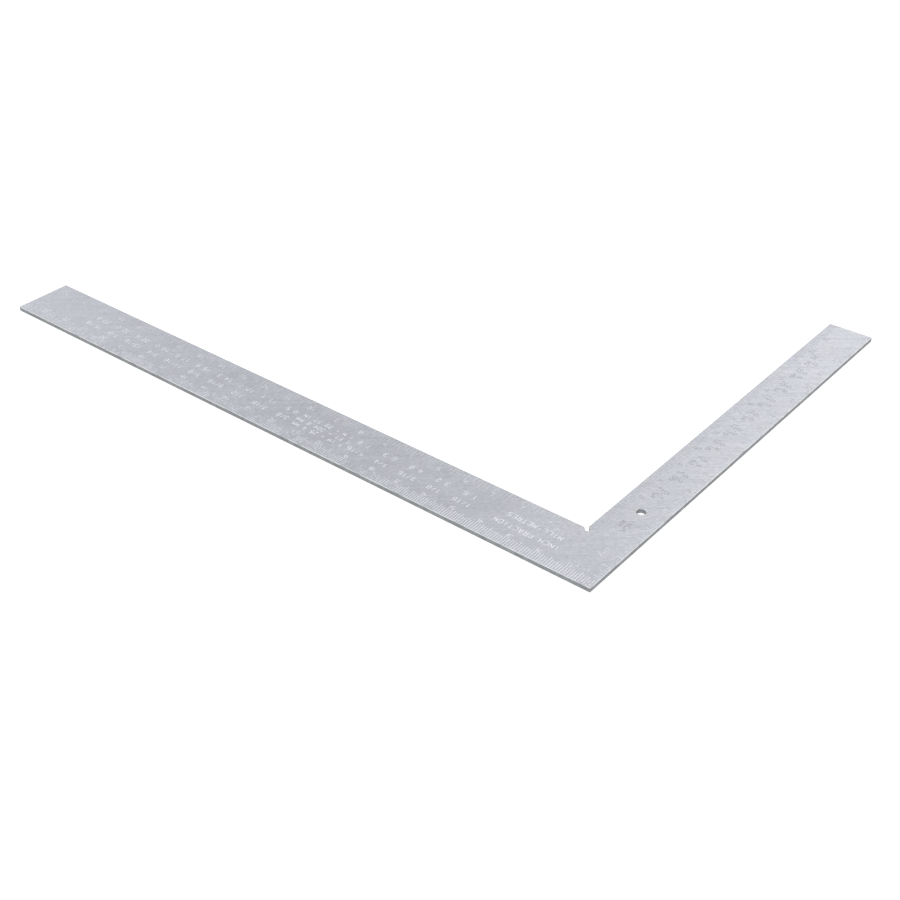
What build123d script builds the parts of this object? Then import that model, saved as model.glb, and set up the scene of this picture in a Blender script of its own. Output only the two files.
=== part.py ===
"""Steel carpenter's square: one L-shaped plate with graduated edges.

The long leg is the blade and the short leg is the tongue. They meet at the heel. The origin is
the outer corner of the heel on the underside. The blade runs along -X, the tongue along +Y, and
+Z points out of the upper face. All sizes are in millimetres.

The plate is one piece of sheet steel. Every graduation and character is a shallow closed pocket
with flat walls, and each pocket holds its own thin deposit of enamel.
"""

import os
from math import ceil, gcd

from build123d import *

INCH = 25.4

# Plate
blade_length = 24 * INCH
blade_width = 2 * INCH
tongue_length = 16 * INCH
tongue_width = 1.5 * INCH
plate_thickness = 4.0
corner_radius = 0.6
edge_break = 0.35

# Round hole on the middle line of the tongue, to hang the square on a nail or a peg
hang_hole_diameter = 7.0
hang_hole_from_tongue_edge = tongue_width / 2
hang_hole_from_blade_edge = 3.5 * INCH
hang_hole_break = 0.3

# Slot across the inner corner, so that a sharp workpiece corner seats fully. The depth is
# measured from the corner towards the heel.
relief_width = 3.4
relief_depth = 3.6

# Markings
pocket_depth = 0.20
enamel_thickness = 0.14
line_width = 0.55
edge_margin = 0.55

# Height of the characters, and the gap on each side of an inch mark between its two digits
scale_numeral_height = 3.6
numeral_gap = 0.9
blade_table_height = 4.0
tongue_table_height = 3.6
heading_height = 4.2
note_height = 3.6
label_height = 2.6

# Lines of lettering, as local Y from the outer edge of the leg
blade_first_line = -20.1
blade_second_line = -30.5
note_first_line = -18.7
note_line_pitch = 6.4
tongue_first_line = -17.0
tongue_second_line = -22.4

# Middles of the lettering along the legs, in inches from the heel
heading_place = 2.65
blade_table_start = 4.9
note_place = 10.4
columns_before_note = 5
columns_under_note = 2
tongue_heading_place = 2.75
tongue_table_start = 4.5

# The labels of the smallest divisions stand this far from the graduated edge. Those of the
# outer scales are placed from the heel and those of the inner scales from the inner corner.
label_from_edge = 14.4
blade_outer_label_place = 0.6 * INCH
blade_inner_label_place = 0.5 * INCH
tongue_outer_label_place = 1.45 * INCH
tongue_inner_label_place = 0.25 * INCH

UP = Vector(0, 0, 1)
DOWN = Vector(0, 0, -1)

# Characters are polylines on a grid of 4 by 6 units. Stroke width and advance are in grid units.
GRID_WIDTH = 4
GRID_HEIGHT = 6
STROKE_UNITS = 0.85
ADVANCE_UNITS = 6.2

STROKES = {
    "0": [[(1, 0), (3, 0), (4, 1), (4, 5), (3, 6), (1, 6), (0, 5), (0, 1), (1, 0)]],
    "1": [[(0.8, 4.8), (2, 6), (2, 0)]],
    "2": [[(0, 5), (1, 6), (3, 6), (4, 5), (4, 4), (0, 0.8), (0, 0), (4, 0)]],
    "3": [
        [(0, 5), (1, 6), (3, 6), (4, 5), (4, 4), (3, 3), (4, 2), (4, 1), (3, 0), (1, 0), (0, 1)],
        [(1.5, 3), (3, 3)],
    ],
    "4": [[(3, 0), (3, 6)], [(2.4, 6), (0, 2.4), (0, 1.7), (4, 1.7)]],
    "5": [[(4, 6), (0, 6), (0, 3.4), (3, 3.4), (4, 2.4), (4, 1), (3, 0), (0, 0)]],
    "6": [
        [(4, 6), (1, 6), (0, 5), (0, 1), (1, 0), (3, 0), (4, 1), (4, 2.4), (3, 3.4)],
        [(0, 3.4), (3, 3.4)],
    ],
    "7": [[(0, 6), (4, 6), (1.5, 0)]],
    "8": [
        [(1, 0), (3, 0), (4, 1), (4, 5), (3, 6), (1, 6), (0, 5), (0, 1), (1, 0)],
        [(0, 3.1), (4, 3.1)],
    ],
    "9": [
        [(0, 0), (3, 0), (4, 1), (4, 5), (3, 6), (1, 6), (0, 5), (0, 3.6), (1, 2.6)],
        [(1, 2.6), (4, 2.6)],
    ],
    "/": [[(0.5, 0), (3.5, 6)]],
    ".": [[(1.5, 0), (2.4, 0)]],
    "=": [[(0, 2), (3.6, 2)], [(0, 4), (3.6, 4)]],
    "A": [[(0, 0), (1.7, 6), (2.3, 6), (4, 0)], [(0.8, 2), (3.2, 2)]],
    "C": [[(4, 6), (1, 6), (0, 5), (0, 1), (1, 0), (4, 0)]],
    "E": [[(4, 6), (0, 6), (0, 0), (4, 0)], [(0, 3.1), (3.2, 3.1)]],
    "F": [[(4, 6), (0, 6), (0, 0)], [(0, 3.1), (3.2, 3.1)]],
    "H": [[(0, 0), (0, 6)], [(4, 0), (4, 6)], [(0, 3), (4, 3)]],
    "I": [[(2, 0), (2, 6)]],
    "L": [[(0, 6), (0, 0), (4, 0)]],
    "M": [[(0, 0), (0, 6)], [(0, 5.6), (2, 2.6), (4, 5.6)], [(4, 0), (4, 6)]],
    "N": [[(0, 0), (0, 6)], [(0, 5.4), (4, 0.6)], [(4, 0), (4, 6)]],
    "O": [[(1, 0), (3, 0), (4, 1), (4, 5), (3, 6), (1, 6), (0, 5), (0, 1), (1, 0)]],
    "R": [[(0, 0), (0, 6), (3, 6), (4, 5), (4, 4), (3, 3), (0, 3)], [(2, 3), (4, 0)]],
    "S": [[(4, 6), (1, 6), (0, 5), (0, 4), (4, 2), (4, 1), (3, 0), (0, 0)]],
    "T": [[(0, 6), (4, 6)], [(2, 0), (2, 6)]],
}

# One working plane per leg and face. Local +Y points out over the leg's outer edge, which is
# y = 0, and local +X is the direction in which the characters read.
# The sign with each plane says whether distances from the heel run along local +X or -X.
upper_blade = (Plane((0, 0, plate_thickness), x_dir=(-1, 0, 0), z_dir=(0, 0, 1)), 1)
upper_tongue = (Plane((0, 0, plate_thickness), x_dir=(0, -1, 0), z_dir=(0, 0, 1)), -1)
under_blade = (Plane((0, 0, 0), x_dir=(1, 0, 0), z_dir=(0, 0, -1)), -1)
under_tongue = (Plane((0, 0, 0), x_dir=(0, 1, 0), z_dir=(0, 0, -1)), 1)


def make_glyph(character):
    """One character of unit grid height, centred on the origin."""
    half_width = GRID_WIDTH / 2
    half_height = GRID_HEIGHT / 2
    with BuildSketch() as glyph:
        for stroke in STROKES[character]:
            with BuildLine():
                Polyline(*[(x - half_width, y - half_height) for x, y in stroke])
            trace(line_width=STROKE_UNITS)
    return glyph.sketch


GLYPHS = {character: make_glyph(character) for character in STROKES}


def lettering(text, middle, height):
    """The characters of one line of text, centred on a point of the working plane."""
    unit = height / GRID_HEIGHT
    first = -(len(text) - 1) / 2
    return [
        scale(GLYPHS[character], by=unit).moved(
            Location((middle[0] + (first + place) * ADVANCE_UNITS * unit, middle[1]))
        )
        for place, character in enumerate(text)
        if character != " "
    ]


def collect(plane, glyphs):
    """The characters as one sketch of separate faces on the plane."""
    with BuildSketch(plane) as characters:
        add(glyphs)
    return characters.sketch


class Scale:
    """Graduations along one edge of a leg.

    leg is the working plane with the local X direction in which the numbers rise, edge is the
    local Y of the graduated edge, and start and stop are distances from the heel. divisions is
    the number of marks per inch. A mark whose count is a multiple of ranks[n] is lengths[n] long,
    the first match winning. Marks closer to the start than clear are left out.
    """

    def __init__(self, leg, edge, start, stop, divisions, ranks, lengths, clear=0):
        self.plane, self.direction = leg
        self.edge = edge
        self.inward = -1 if edge == 0 else 1
        self.start = start
        self.inches = (stop - start) / INCH
        self.divisions = divisions
        self.ranks = ranks
        self.lengths = lengths
        self.clear = clear

    def along(self, inches):
        return self.direction * (self.start + inches * INCH)

    def length_at(self, count):
        return next(size for every, size in zip(self.ranks, self.lengths) if count % every == 0)

    def marks(self):
        """Every graduation as its own rectangle."""
        first = ceil(self.clear / INCH * self.divisions) or 1
        last = ceil(self.inches * self.divisions)
        with BuildSketch(self.plane) as sketch:
            for length in self.lengths:
                middle = self.edge + self.inward * (edge_margin + length / 2)
                places = [
                    (self.along(count / self.divisions), middle)
                    for count in range(first, last)
                    if self.length_at(count) == length
                ]
                with Locations(*places):
                    Rectangle(line_width, length)
        return sketch.sketch

    def numerals(self):
        """The inch numbers. A pair of digits stands astride its inch mark."""
        unit = scale_numeral_height / GRID_HEIGHT
        beside = numeral_gap + GRID_WIDTH * unit / 2
        top = edge_margin + self.lengths[0]
        level = self.edge + self.inward * (top - scale_numeral_height / 2)
        glyphs = []
        for inch in range(1, ceil(self.inches)):
            digits = str(inch)
            for place, digit in enumerate(digits):
                side = -beside if place == 0 else beside
                glyphs += lettering(digit, (self.along(inch) + side, level), scale_numeral_height)
        return collect(self.plane, glyphs)


TWELFTHS = (12, 6, 3, 1)
EIGHTHS = (8, 4, 2, 1)
TENTHS = (10, 5, 1)
SIXTEENTHS = (16, 8, 4, 2, 1)

# Outer scales count from the heel and inner scales from the inner corner. The tongue's outer
# scale starts clear of the blade's first marks.
upper_scales = {
    "blade_outer_twelfths": Scale(
        upper_blade, 0, 0, blade_length, 12, TWELFTHS, (12.4, 10.4, 9.2, 8.0)
    ),
    "blade_inner_eighths": Scale(
        upper_blade, -blade_width, tongue_width, blade_length, 8, EIGHTHS, (10.8, 9.2, 7.6, 6.0)
    ),
    "tongue_outer_twelfths": Scale(
        upper_tongue, 0, 0, tongue_length, 12, TWELFTHS, (8.0, 6.0, 4.6, 3.2), clear=10
    ),
    "tongue_inner_tenths": Scale(
        upper_tongue, -tongue_width, blade_width, tongue_length, 10, TENTHS, (11.2, 8.8, 6.6)
    ),
}
under_scales = {
    "under_blade_outer_sixteenths": Scale(
        under_blade, 0, 0, blade_length, 16, SIXTEENTHS, (11.0, 9.0, 7.2, 5.6, 4.0)
    ),
    "under_blade_inner_eighths": Scale(
        under_blade, -blade_width, tongue_width, blade_length, 8, EIGHTHS, (9.6, 7.6, 6.0, 4.4)
    ),
    "under_tongue_outer_sixteenths": Scale(
        under_tongue, 0, 0, tongue_length, 16, SIXTEENTHS, (11.0, 9.0, 7.2, 5.6, 4.0), clear=12
    ),
    "under_tongue_inner_eighths": Scale(
        under_tongue, -tongue_width, blade_width, tongue_length, 8, EIGHTHS, (9.6, 7.6, 6.0, 4.4)
    ),
}


def on_leg(leg, texts):
    """Lines of text on one leg. Each is (text, distance from the heel, local Y, height)."""
    plane, direction = leg
    glyphs = []
    for text, distance, level, height in texts:
        glyphs += lettering(text, (direction * distance, level), height)
    return collect(plane, glyphs)


def blade_heading():
    """Headings of the conversion table."""
    middle = heading_place * INCH
    return on_leg(
        upper_blade,
        [
            ("INCH FRACTION", middle, blade_first_line, heading_height),
            ("MILLIMETRES", middle, blade_second_line, heading_height),
        ],
    )


def blade_table():
    """Sixteenths of an inch in lowest terms, each above its size in millimetres."""
    texts = []
    for sixteenths in range(1, 16):
        # Columns are one inch apart, and the note takes the room of some of them.
        column = sixteenths - 1
        if sixteenths > columns_before_note:
            column += columns_under_note
        common = gcd(sixteenths, 16)
        fraction = f"{sixteenths // common}/{16 // common}"
        millimetres = f"{sixteenths * INCH / 16:.1f}"
        place = (blade_table_start + column) * INCH
        texts.append((fraction, place, blade_first_line, blade_table_height))
        texts.append((millimetres, place, blade_second_line, blade_table_height))
    return on_leg(upper_blade, texts)


def blade_note():
    """Three unit conversions, one under the other."""
    lines = ["1 IN = 25.4 MM", "1 FT = 304.8 MM", "1 M = 39.37 IN"]
    return on_leg(
        upper_blade,
        [
            (line, note_place * INCH, note_first_line - count * note_line_pitch, note_height)
            for count, line in enumerate(lines)
        ],
    )


def tongue_table():
    """Tenths of an inch, each above its size in millimetres."""
    middle = tongue_heading_place * INCH
    texts = [
        ("INCH", middle, tongue_first_line, tongue_table_height),
        ("MM", middle, tongue_second_line, tongue_table_height),
    ]
    for tenths in range(1, 11):
        place = (tongue_table_start + tenths - 1) * INCH
        texts.append((f"{tenths / 10:.1f}", place, tongue_first_line, tongue_table_height))
        millimetres = f"{tenths * INCH / 10:.2f}"
        texts.append((millimetres, place, tongue_second_line, tongue_table_height))
    return on_leg(upper_tongue, texts)


def fraction_labels(blade, tongue, blade_outer, blade_inner, tongue_outer, tongue_inner):
    """The size of the smallest division, once beside each scale of a face."""
    blade_outer_line = -label_from_edge
    blade_inner_line = label_from_edge - blade_width
    tongue_outer_line = -label_from_edge
    tongue_inner_line = label_from_edge - tongue_width
    blade_inner_place = tongue_width + blade_inner_label_place
    tongue_inner_place = blade_width + tongue_inner_label_place
    on_blade = on_leg(
        blade,
        [
            (blade_outer, blade_outer_label_place, blade_outer_line, label_height),
            (blade_inner, blade_inner_place, blade_inner_line, label_height),
        ],
    )
    on_tongue = on_leg(
        tongue,
        [
            (tongue_outer, tongue_outer_label_place, tongue_outer_line, label_height),
            (tongue_inner, tongue_inner_place, tongue_inner_line, label_height),
        ],
    )
    return on_blade + on_tongue


def scale_markings(scales):
    """The graduations and the numerals of some scales, by node name."""
    found = {}
    for name, graduated_edge in scales.items():
        leg_and_edge = name.rsplit("_", 1)[0]
        found[name] = graduated_edge.marks()
        found[f"{leg_and_edge}_numerals"] = graduated_edge.numerals()
    return found


upper_markings = scale_markings(upper_scales) | {
    "blade_heading": blade_heading(),
    "blade_table": blade_table(),
    "blade_note": blade_note(),
    "tongue_table": tongue_table(),
    "fraction_labels": fraction_labels(
        upper_blade, upper_tongue, "1/12", "1/8", "1/12", "1/10"
    ),
}
under_markings = scale_markings(under_scales) | {
    "under_fraction_labels": fraction_labels(
        under_blade, under_tongue, "1/16", "1/8", "1/16", "1/8"
    ),
}


def pocket_floors(markings, into_plate):
    """All marks of one side of the plate as one sketch of separate faces at pocket depth."""
    down = Location(into_plate * pocket_depth)
    return Sketch([face.moved(down) for marks in markings.values() for face in marks.faces()])


os.makedirs("parts", exist_ok=True)

with BuildPart() as plate:
    with BuildSketch() as outline:
        with BuildLine():
            Polyline(
                (0, 0),
                (-blade_length, 0),
                (-blade_length, blade_width),
                (-tongue_width, blade_width),
                (-tongue_width, tongue_length),
                (0, tongue_length),
                close=True,
            )
        make_face()
        inner_corner = outline.vertices().sort_by_distance((-tongue_width, blade_width))[0]
        fillet(outline.vertices() - ShapeList([inner_corner]), radius=corner_radius)
    extrude(amount=plate_thickness)
    chamfer(plate.faces().filter_by(Axis.Z).edges(), length=edge_break)

    with BuildSketch() as relief:
        with Locations((-tongue_width, blade_width)):
            SlotOverall(2 * relief_depth, relief_width, rotation=-45)
    extrude(amount=plate_thickness, mode=Mode.SUBTRACT)

    with Locations((-hang_hole_from_tongue_edge, hang_hole_from_blade_edge, plate_thickness)):
        Hole(hang_hole_diameter / 2)
    hang_hole_rims = (
        plate.faces()
        .filter_by(GeomType.CYLINDER)
        .filter_by(lambda wall: abs(wall.radius - hang_hole_diameter / 2) < hang_hole_break)
        .edges()
        .filter_by(GeomType.CIRCLE)
    )
    chamfer(hang_hole_rims, length=hang_hole_break)

    # Each pocket's cutter rises from the floor to as far outside the face as the pocket is deep.
    for floors in (pocket_floors(upper_markings, DOWN), pocket_floors(under_markings, UP)):
        extrude(floors, amount=2 * pocket_depth, mode=Mode.SUBTRACT, clean=False)
plate.part.label = "plate"
export_step(plate.part, "parts/plate.step", write_pcurves=False)


def fill_with_enamel(name, marks, into_plate):
    """One thin deposit of enamel on the floor of each pocket."""
    floor = Location(into_plate * pocket_depth)
    with BuildPart() as enamel:
        extrude(marks.moved(floor), amount=enamel_thickness)
    enamel.part.label = name
    export_step(enamel.part, f"parts/{name}.step", write_pcurves=False)


for name, marks in upper_markings.items():
    fill_with_enamel(name, marks, into_plate=DOWN)
for name, marks in under_markings.items():
    fill_with_enamel(name, marks, into_plate=UP)
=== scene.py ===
"""Looks of the steel square: ground steel, filled markings, a white studio and the camera."""

import math

import bpy
from mathutils import Matrix, Vector

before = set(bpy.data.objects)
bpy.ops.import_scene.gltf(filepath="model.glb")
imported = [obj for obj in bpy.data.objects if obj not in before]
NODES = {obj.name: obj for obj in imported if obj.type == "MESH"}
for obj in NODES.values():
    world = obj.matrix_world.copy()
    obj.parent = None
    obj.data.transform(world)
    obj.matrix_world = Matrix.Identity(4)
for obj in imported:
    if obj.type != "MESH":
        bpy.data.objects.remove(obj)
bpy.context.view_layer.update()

PLATE = "plate"

# The heel's outer corner is the origin of the frame. The blade runs along -X, the tongue along +Y.
AXIS_X, AXIS_Y = 0, 1
INCH = 0.0254


# ---------------------------------------------------------------- node helpers


class Graph:
    """A node tree with short calls for the nodes that the materials share."""

    def __init__(self, tree):
        self.tree = tree
        tree.nodes.clear()

    def add(self, kind, inputs=(), **settings):
        node = self.tree.nodes.new(kind)
        for key, value in settings.items():
            setattr(node, key, value)
        for key, value in dict(inputs).items():
            self.put(node.inputs[key], value)
        return node

    def put(self, socket, value):
        if isinstance(value, bpy.types.NodeSocket):
            self.tree.links.new(value, socket)
        elif value is not None:
            socket.default_value = value

    def math(self, operation, *values):
        node = self.add("ShaderNodeMath", operation=operation)
        for socket, value in zip(node.inputs, values):
            self.put(socket, value)
        return node.outputs[0]

    def vector(self, operation, *values):
        node = self.add("ShaderNodeVectorMath", operation=operation)
        for socket, value in zip(node.inputs, values):
            self.put(socket, value)
        return node.outputs["Value" if operation == "DOT_PRODUCT" else "Vector"]

    def remap(self, value, low, high, to_low=0.0, to_high=1.0):
        """value eased from (low, high) onto (to_low, to_high). low may lie above high."""
        node = self.add(
            "ShaderNodeMapRange",
            interpolation_type="SMOOTHSTEP",
            inputs={0: value, 1: low, 2: high, 3: to_low, 4: to_high},
        )
        return node.outputs[0]

    def mix(self, share, first, second):
        """Two colours mixed. Sockets 6 and 7 are the mix node's colour inputs, 2 its output."""
        node = self.add("ShaderNodeMix", data_type="RGBA")
        self.put(node.inputs[0], share)
        self.put(node.inputs[6], first)
        self.put(node.inputs[7], second)
        return node.outputs[2]

    def scaled(self, value, factor):
        return self.math("MULTIPLY", value, factor)

    def noise(self, vector, scale, detail, roughness, distortion=0.0):
        node = self.add(
            "ShaderNodeTexNoise",
            inputs={
                "Vector": vector,
                "Scale": scale,
                "Detail": detail,
                "Roughness": roughness,
                "Distortion": distortion,
            },
        )
        return node.outputs["Fac"]

    def mapped(self, vector, scale=(1, 1, 1), rotation=(0, 0, 0), location=(0, 0, 0)):
        node = self.add(
            "ShaderNodeMapping",
            inputs={"Vector": vector, "Scale": scale, "Rotation": rotation, "Location": location},
        )
        return node.outputs[0]

    def axes(self, vector):
        return self.add("ShaderNodeSeparateXYZ", inputs={0: vector}).outputs

    def bumped(self, heights, strength, distance):
        """The surface normal tilted by heights. distance is the depth in metres."""
        node = self.add(
            "ShaderNodeBump",
            inputs={"Strength": strength, "Distance": distance, "Height": heights},
        )
        return node.outputs[0]

    def show(self, kind, shader):
        """Join the shader to the tree's output node, which is of the given kind."""
        output = self.add(kind)
        self.tree.links.new(shader.outputs[0], output.inputs[0])


def grey(value):
    return (value, value, value, 1.0)


COOL_TINT = (0.97, 0.98, 1.04)


def cool(value):
    """A grey that leans slightly to blue, as the steel does."""
    red, green, blue = COOL_TINT
    return (red * value, green * value, blue * value, 1.0)


# ---------------------------------------------------------------- steel

# Ground grain, as an angle in plan from +X
GRAIN_ANGLE = math.radians(38)

# Noises of the ground face: scale, detail, roughness and distortion. Scales are per metre. Those
# with a grain have one scale along it, one across it and one through the plate.
GRAINED_NOISES = {
    "fine": ((60, 2600, 400), 3.0, 0.6, 0.0),
    "coarse": ((14, 620, 200), 2.0, 0.55, 0.0),
    "streaks": ((11, 170, 60), 3.0, 0.6, 0.3),
    "mottle": ((330, 620, 500), 3.0, 0.65, 0.5),
}
PLAIN_NOISES = {
    "clouds": (26.0, 4.0, 0.6, 0.4),
    "stains": (90.0, 5.0, 0.7, 0.6),
    "handling": (75.0, 3.0, 0.6, 0.0),
    "blotches": (140.0, 3.0, 0.6, 0.0),
}
# Vertical lines that the shears tore into the edge walls
TEAR_SCALE = (1900, 1900, 90)
TEAR_CHARACTER = (3.0, 0.6)
# A slow drift between the two steel colours
TINT_NOISE = (55.0, 2.0, 0.5)
TINT_SPAN = (0.35, 0.65)
TINT_OFFSET = (3.1, 1.7, 0.4)

# Tone: between two values of a noise, the colour is multiplied by a factor between two others.
FACE_TONES = [
    ("clouds", 0.30, 0.70, 0.93, 1.03),
    ("streaks", 0.30, 0.72, 0.972, 1.028),
    ("mottle", 0.32, 0.68, 0.915, 1.085),
    ("stains", 0.62, 0.74, 1.0, 0.93),
    ("coarse", 0.35, 0.65, 0.975, 1.02),
    ("fine", 0.30, 0.70, 0.95, 1.05),
]
WALL_TONES = [("tears", 0.3, 0.7, 0.80, 1.12), ("blotches", 0.3, 0.7, 0.86, 1.10)]

STEEL_COLOURS = (0.481, 0.494, 0.541, 1), (0.490, 0.500, 0.538, 1)
# Edge walls: darker than the faces, partly the sheared steel and partly painted shade where the
# walls face sideways.
SHEARED_AND_SHADED_WALL_COLOUR = (0.435, 0.450, 0.460)
# Broken edges: a lighter colour, partly rubbed bright by handling and partly a painted highlight.
RUBBED_AND_HIGHLIGHT_COLOUR = (0.86, 0.87, 0.88, 1)
RUBBED_AND_HIGHLIGHT_SHARE = 0.75
RUBBED_SPAN = (0.30, 0.52)

# Spans of the size of the normal's Z, which is 1 on the flat faces, 0.7 on the broken edges and 0
# on the walls: where a wall fades in, where a broken edge fades in, and where it fades in from the
# flat faces.
WALL_FACING = (0.55, 0.30)
BEVEL_FACING = (0.30, 0.60)
FLAT_FACING = (0.995, 0.90)

# Roughness: two values of a noise, then the roughness at each of them. Below, what place changes.
ROUGH_COARSE = (0.30, 0.70, 0.36, 0.46)
ROUGH_CLOUDS = (0.35, 0.70, -0.03, 0.05)
WALL_ROUGHER = 0.14
RUBBED_SMOOTHER = 0.12
ANISOTROPY = 0.45

# Bump: the share of each noise, its strength and its depth in metres
FINE_BUMP, COARSE_BUMP, TEAR_BUMP = 0.55, 0.45, 1.5
STEEL_BUMP = (0.35, 0.000012)


def steel_material():
    """Ground and lightly tarnished steel. The sheared edge walls are rougher, and darker: partly
    the sheared steel, partly painted shade.
    """
    material = bpy.data.materials.new("ground_steel")
    material.use_nodes = True
    g = Graph(material.node_tree)
    place = g.add("ShaderNodeTexCoord").outputs["Object"]
    facing = g.math("ABSOLUTE", g.axes(g.add("ShaderNodeNewGeometry").outputs["Normal"])["Z"])
    wall = g.remap(facing, *WALL_FACING)
    bevel = g.math("MULTIPLY", g.remap(facing, *BEVEL_FACING), g.remap(facing, *FLAT_FACING))

    turned = g.mapped(place, rotation=(0, 0, -GRAIN_ANGLE))
    noises = {"tears": g.noise(g.mapped(place, scale=TEAR_SCALE), 1.0, *TEAR_CHARACTER)}
    for name, (scale, *character) in GRAINED_NOISES.items():
        noises[name] = g.noise(g.mapped(turned, scale=scale), 1.0, *character)
    for name, (scale, *character) in PLAIN_NOISES.items():
        noises[name] = g.noise(place, scale, *character)
    tint = g.noise(g.mapped(place, location=TINT_OFFSET), *TINT_NOISE)

    def toned(colour, tones):
        """The colour darkened and lightened by several noises."""
        shade = 1.0
        for name, *span in tones:
            shade = g.math("MULTIPLY", shade, g.remap(noises[name], *span))
        return g.vector("MULTIPLY", colour, shade)

    face_colour = toned(g.mix(g.remap(tint, *TINT_SPAN), *STEEL_COLOURS), FACE_TONES)
    # The walls' darker colour is partly the sheared steel, partly painted shade.
    colour = g.mix(wall, face_colour, toned(SHEARED_AND_SHADED_WALL_COLOUR, WALL_TONES))
    # The broken edges are lighter, unevenly: partly rubbed bright by handling, partly a painted
    # highlight.
    rubbed = g.math("MULTIPLY", bevel, g.remap(noises["handling"], *RUBBED_SPAN))
    colour = g.mix(g.scaled(rubbed, RUBBED_AND_HIGHLIGHT_SHARE), colour, RUBBED_AND_HIGHLIGHT_COLOUR)

    roughness = g.remap(noises["coarse"], *ROUGH_COARSE)
    roughness = g.math("ADD", roughness, g.remap(noises["clouds"], *ROUGH_CLOUDS))
    roughness = g.math("ADD", roughness, g.scaled(wall, WALL_ROUGHER))
    roughness = g.math("SUBTRACT", roughness, g.scaled(rubbed, RUBBED_SMOOTHER))

    ground = g.math(
        "ADD", g.scaled(noises["fine"], FINE_BUMP), g.scaled(noises["coarse"], COARSE_BUMP)
    )
    torn = g.math("MULTIPLY", noises["tears"], wall)
    heights = g.math("ADD", ground, g.scaled(torn, TEAR_BUMP))
    # The highlight is stretched across the grain.
    tangent = g.add(
        "ShaderNodeCombineXYZ",
        inputs={0: -math.sin(GRAIN_ANGLE), 1: math.cos(GRAIN_ANGLE), 2: 0.0},
    )
    shader = g.add(
        "ShaderNodeBsdfPrincipled",
        inputs={
            "Base Color": colour,
            "Metallic": 1.0,
            "Roughness": roughness,
            "Anisotropic": g.scaled(g.math("SUBTRACT", 1.0, wall), ANISOTROPY),
            "Tangent": tangent.outputs[0],
            "Normal": g.bumped(heights, *STEEL_BUMP),
        },
    )
    g.show("ShaderNodeOutputMaterial", shader)
    return material


# ---------------------------------------------------------------- fill of the marks

# Noises of the fill, laid out as PLAIN_NOISES
GRIT = (2600.0, 3.0, 0.6)
PATCHES = (420.0, 4.0, 0.65, 0.3)
DRIFT = (60.0, 2.0, 0.5)

# The slow drift moves the wear of whole stretches up or down.
DRIFT_WEAR = (0.35, 0.65, -0.06, 0.06)
# A mark counts as deep within the first distance of a stamped place and as shallow beyond the
# second. The fill of a shallow mark is thinner by the last number.
SHALLOW_MARK = (0.0005, 0.0010, 0.0, 0.03)
# The fill is whole where the noise lies above the first value and gone below the second. Both rise
# with wear.
GONE_SPAN = (0.40, 0.30)
GONE_PER_WEAR = 0.22
GONE_SHARE = 0.8

GRIT_SHADE = 0.90
GRIT_SPAN = (0.35, 0.65)
GRIT_ROUGHNESS = (0.3, 0.7, 0.55, 0.75)
STAIN_SHADES = (0.41, 0.50)
STAIN_SPAN = (0.40, 0.60)
FILL_SPECULAR = 0.35
FILL_BUMP = (0.5, 0.00004)


def enamel_material(name, lightness, wear, stamped=None, rubbed=None):
    """Matte fill. The higher wear is, the more of the fill is thin, stained or gone.

    stamped is (axis, distance): marks at whole multiples of the distance from the heel look deeper
    and hold more fill. rubbed is (axis, start, stop, amount): the wear grows along that axis.
    """
    material = bpy.data.materials.new(name)
    material.use_nodes = True
    g = Graph(material.node_tree)
    place = g.add("ShaderNodeTexCoord").outputs["Object"]
    grit = g.noise(place, *GRIT)
    patches = g.noise(place, *PATCHES)
    drift = g.noise(place, *DRIFT)
    thickness = g.math("ADD", patches, g.remap(drift, *DRIFT_WEAR))
    axes = g.axes(place)
    if stamped:
        axis, distance = stamped
        turns = g.math("DIVIDE", axes[axis], distance)
        nearest = g.math("MULTIPLY", g.math("PINGPONG", turns, 0.5), distance)
        thickness = g.math("SUBTRACT", thickness, g.remap(nearest, *SHALLOW_MARK))
    if rubbed:
        axis, start, stop, amount = rubbed
        worn = g.remap(axes[axis], start, stop, 0.0, amount)
        thickness = g.math("SUBTRACT", thickness, worn)
    gone = g.remap(thickness, *(limit + GONE_PER_WEAR * wear for limit in GONE_SPAN))
    fresh = g.mix(g.remap(grit, *GRIT_SPAN), cool(GRIT_SHADE * lightness), cool(lightness))
    stained = g.mix(g.remap(drift, *STAIN_SPAN), *(cool(shade) for shade in STAIN_SHADES))
    colour = g.mix(g.scaled(gone, GONE_SHARE), fresh, stained)
    shader = g.add(
        "ShaderNodeBsdfPrincipled",
        inputs={
            "Base Color": colour,
            "Roughness": g.remap(grit, *GRIT_ROUGHNESS),
            "Specular IOR Level": FILL_SPECULAR,
            "Normal": g.bumped(patches, *FILL_BUMP),
        },
    )
    g.show("ShaderNodeOutputMaterial", shader)
    return material


def dress(node, material):
    """Give a node its material, in every slot that it has."""
    slots = NODES[node].material_slots
    if not slots:
        NODES[node].data.materials.append(material)
    for slot in slots:
        slot.material = material


dress(PLATE, steel_material())

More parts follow.
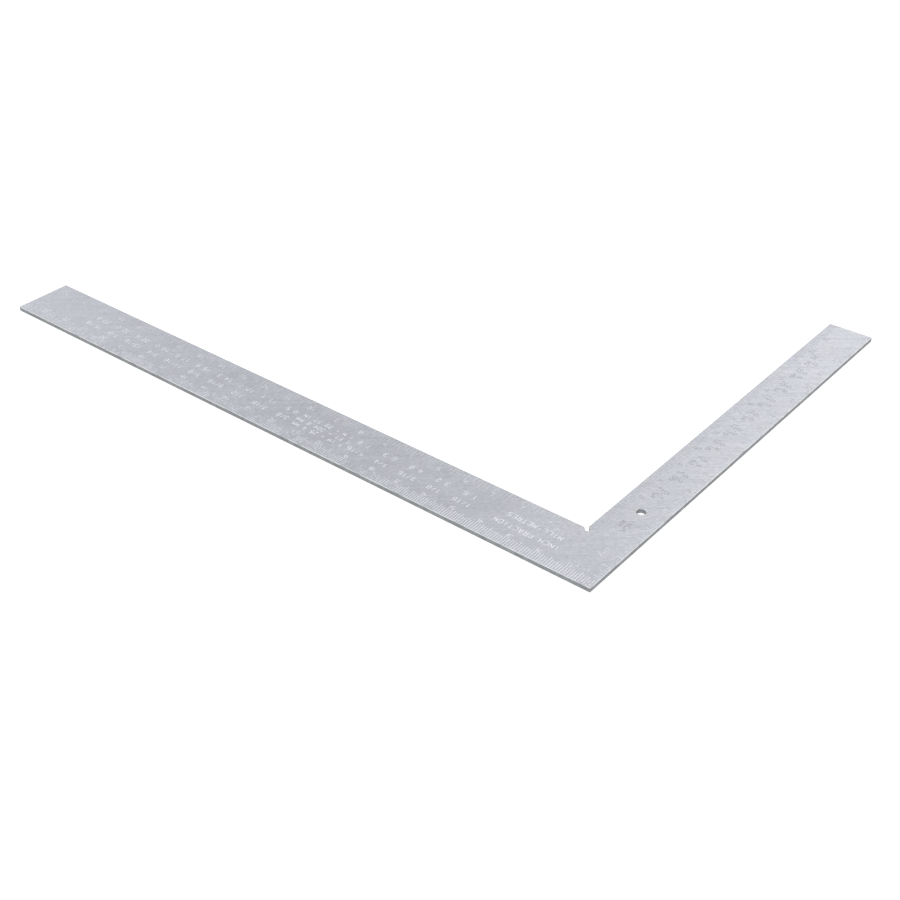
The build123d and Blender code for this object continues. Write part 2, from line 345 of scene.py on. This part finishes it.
# Lightness of the fill and its wear by node, then its stamped and rubbed settings. Handling wears
# the numbers more than the headings. On the tongue most of the fill is darker, as painted shade:
# the same enamel looks darker there because of how the light falls on the tongue.
FILL = {
    "blade_heading": (0.92, -0.20, None, (AXIS_Y, 0.022, 0.030, 0.06)),
    "blade_note": (0.92, -0.05, None, None),
    "blade_table": (0.90, 0.00, None, None),
    "blade_outer_twelfths": (0.90, 0.00, (AXIS_X, INCH / 4), (AXIS_X, -0.06, -0.25, 0.15)),
    "blade_outer_numerals": (0.90, 0.20, None, None),
    "blade_inner_eighths": (0.70, 0.35, (AXIS_X, INCH / 2), None),
    "blade_inner_numerals": (0.84, 0.30, None, None),
    # Most of the tongue's fills are darker copies of the same enamel: painted shade.
    "tongue_table": (0.40, 0.30, None, None),
    "tongue_outer_twelfths": (0.84, 0.30, (AXIS_Y, INCH / 4), None),
    "tongue_outer_numerals": (0.62, 0.50, None, None),
    "tongue_inner_tenths": (0.56, 0.40, (AXIS_Y, INCH / 2), None),
    "tongue_inner_numerals": (0.46, 0.30, None, None),
    "fraction_labels": (0.94, 0.05, None, None),
}
OTHER_FILL = (0.80, 0.35, None, None)
for name in sorted(NODES):
    if name != PLATE:
        dress(name, enamel_material(f"enamel_{name}", *FILL.get(name, OTHER_FILL)))


# ---------------------------------------------------------------- studio

FLOOR_GAP = 0.0002
FLOOR_HALF = 3.0
FLOOR_MATTE = 0.30
FLOOR_GLOW = 0.88


def floor():
    """A white table that only the camera sees. It takes shadows, and is clear from below."""
    h, z = FLOOR_HALF, -FLOOR_GAP
    mesh = bpy.data.meshes.new("floor")
    mesh.from_pydata([(-h, -h, z), (h, -h, z), (h, h, z), (-h, h, z)], [], [(0, 1, 2, 3)])
    made = bpy.data.objects.new("floor", mesh)
    bpy.context.scene.collection.objects.link(made)
    material = bpy.data.materials.new("white_table")
    material.use_nodes = True
    g = Graph(material.node_tree)
    behind = g.add("ShaderNodeNewGeometry").outputs["Backfacing"]
    matte = g.add("ShaderNodeBsdfDiffuse", inputs={"Color": grey(FLOOR_MATTE)})
    glow = g.add("ShaderNodeEmission", inputs={"Color": grey(1.0), "Strength": FLOOR_GLOW})
    white = g.add("ShaderNodeAddShader")
    g.tree.links.new(matte.outputs[0], white.inputs[0])
    g.tree.links.new(glow.outputs[0], white.inputs[1])
    clear = g.add("ShaderNodeBsdfTransparent")
    shader = g.add("ShaderNodeMixShader", inputs={0: behind})
    g.tree.links.new(white.outputs[0], shader.inputs[1])
    g.tree.links.new(clear.outputs[0], shader.inputs[2])
    g.show("ShaderNodeOutputMaterial", shader)
    mesh.materials.append(material)
    made.visible_diffuse = False
    made.visible_glossy = False
    made.visible_shadow = False


floor()


def direction(azimuth, elevation):
    """A unit vector. Azimuth turns from +Y towards -X."""
    a, e = math.radians(azimuth), math.radians(elevation)
    return (-math.sin(a) * math.cos(e), math.cos(a) * math.cos(e), math.sin(e))


# Tints of the light
COOL_WHITE = (0.985, 0.992, 1.0)
WARM_WHITE = (1.0, 0.98, 0.95)
VIOLET_WHITE = (1.0, 0.975, 1.0)

# Soft boxes: azimuth, elevation, half-width in degrees, added radiance and tint. The tongue
# mirrors the first four and the far end of the blade the next three. Two light the broken outer
# edges of the tongue and the blade. The last is mirrored when the square is seen from behind.
SOFT_BOXES = [
    (-20, 30, 25, 0.23, WARM_WHITE),
    (6, 30, 28, 0.61, WARM_WHITE),
    (20, 30, 12, 0.58, WARM_WHITE),
    (33, 12, 14, 0.26, COOL_WHITE),
    (60, 26, 12, 0.36, VIOLET_WHITE),
    (75, 26, 18, 0.69, VIOLET_WHITE),
    (100, 25, 25, 0.25, VIOLET_WHITE),
    (-44, 32, 16, 0.45, COOL_WHITE),
    (137, 39, 22, 0.45, COOL_WHITE),
    (215, 32, 40, 0.30, COOL_WHITE),
]
# A box fades out between these multiples of its half-width.
BOX_EDGE, BOX_CORE = 1.5, 0.5

# Light from all round: its radiance above and below the horizon, and what is added straight up and
# straight down. The spans are heights of the ray's direction.
UPPER_LIGHT = 0.595
LOWER_LIGHT = 0.72
ZENITH_LIGHT = 0.385
NADIR_LIGHT = 0.5
HORIZON_SPAN = (-0.10, 0.12)
ZENITH_SPAN = (0.55, 1.0)
NADIR_SPAN = (-0.70, -1.0)


def studio():
    """Plain soft light from all round, stronger from above, and white behind."""
    world = bpy.data.worlds.new("studio")
    bpy.context.scene.world = world
    world.use_nodes = True
    g = Graph(world.node_tree)
    ray = g.add("ShaderNodeTexCoord").outputs["Generated"]
    up = g.axes(ray)["Z"]
    level = g.remap(up, *HORIZON_SPAN, LOWER_LIGHT, UPPER_LIGHT)
    level = g.math("ADD", level, g.remap(up, *ZENITH_SPAN, 0.0, ZENITH_LIGHT))
    level = g.math("ADD", level, g.remap(up, *NADIR_SPAN, 0.0, NADIR_LIGHT))
    colour = g.vector("MULTIPLY", level, COOL_WHITE)
    for azimuth, elevation, half, radiance, tint in SOFT_BOXES:
        near = g.vector("DOT_PRODUCT", ray, direction(azimuth, elevation))
        edge, core = (math.cos(math.radians(half * reach)) for reach in (BOX_EDGE, BOX_CORE))
        box = g.vector("MULTIPLY", g.remap(near, edge, core, 0.0, radiance), tint)
        colour = g.vector("ADD", colour, box)
    light = g.add("ShaderNodeBackground", inputs={"Color": colour, "Strength": 1.0})
    white = g.add("ShaderNodeBackground", inputs={"Color": grey(1.0), "Strength": 1.0})
    shader = g.add("ShaderNodeMixShader")
    g.tree.links.new(g.add("ShaderNodeLightPath").outputs["Is Camera Ray"], shader.inputs[0])
    g.tree.links.new(light.outputs[0], shader.inputs[1])
    g.tree.links.new(white.outputs[0], shader.inputs[2])
    g.show("ShaderNodeOutputWorld", shader)


studio()

bpy.context.scene.view_settings.view_transform = "Standard"
bpy.context.scene.view_settings.look = "None"

# ---------------------------------------------------------------- camera

# Solved from the plate's corners in the photo. The angles are in degrees, and the shift is in
# widths of the picture.
CAMERA_AIM = Vector((-0.17112, 0.07165, 0.0008))
CAMERA_DISTANCE = 1.04608
CAMERA_AZIMUTH = 40.122
CAMERA_ELEVATION = 34.895
CAMERA_ROLL = -1.143
CAMERA_FIELD = 35.583
CAMERA_SHIFT = (-0.00738, -0.00071)
CAMERA_CLIP = (0.01, 50)


def camera():
    """The photo's camera."""
    data = bpy.data.cameras.new("camera")
    data.angle = math.radians(CAMERA_FIELD)
    data.shift_x, data.shift_y = CAMERA_SHIFT
    data.clip_start, data.clip_end = CAMERA_CLIP
    made = bpy.data.objects.new("camera", data)
    bpy.context.scene.collection.objects.link(made)
    a, e = math.radians(CAMERA_AZIMUTH), math.radians(CAMERA_ELEVATION)
    back = Vector((math.sin(a) * math.cos(e), -math.cos(a) * math.cos(e), math.sin(e)))
    turn = (-back).to_track_quat("-Z", "Y").to_matrix().to_4x4()
    roll = Matrix.Rotation(math.radians(CAMERA_ROLL), 4, "Z")
    made.matrix_world = Matrix.Translation(CAMERA_AIM + back * CAMERA_DISTANCE) @ turn @ roll
    bpy.context.scene.camera = made


camera()
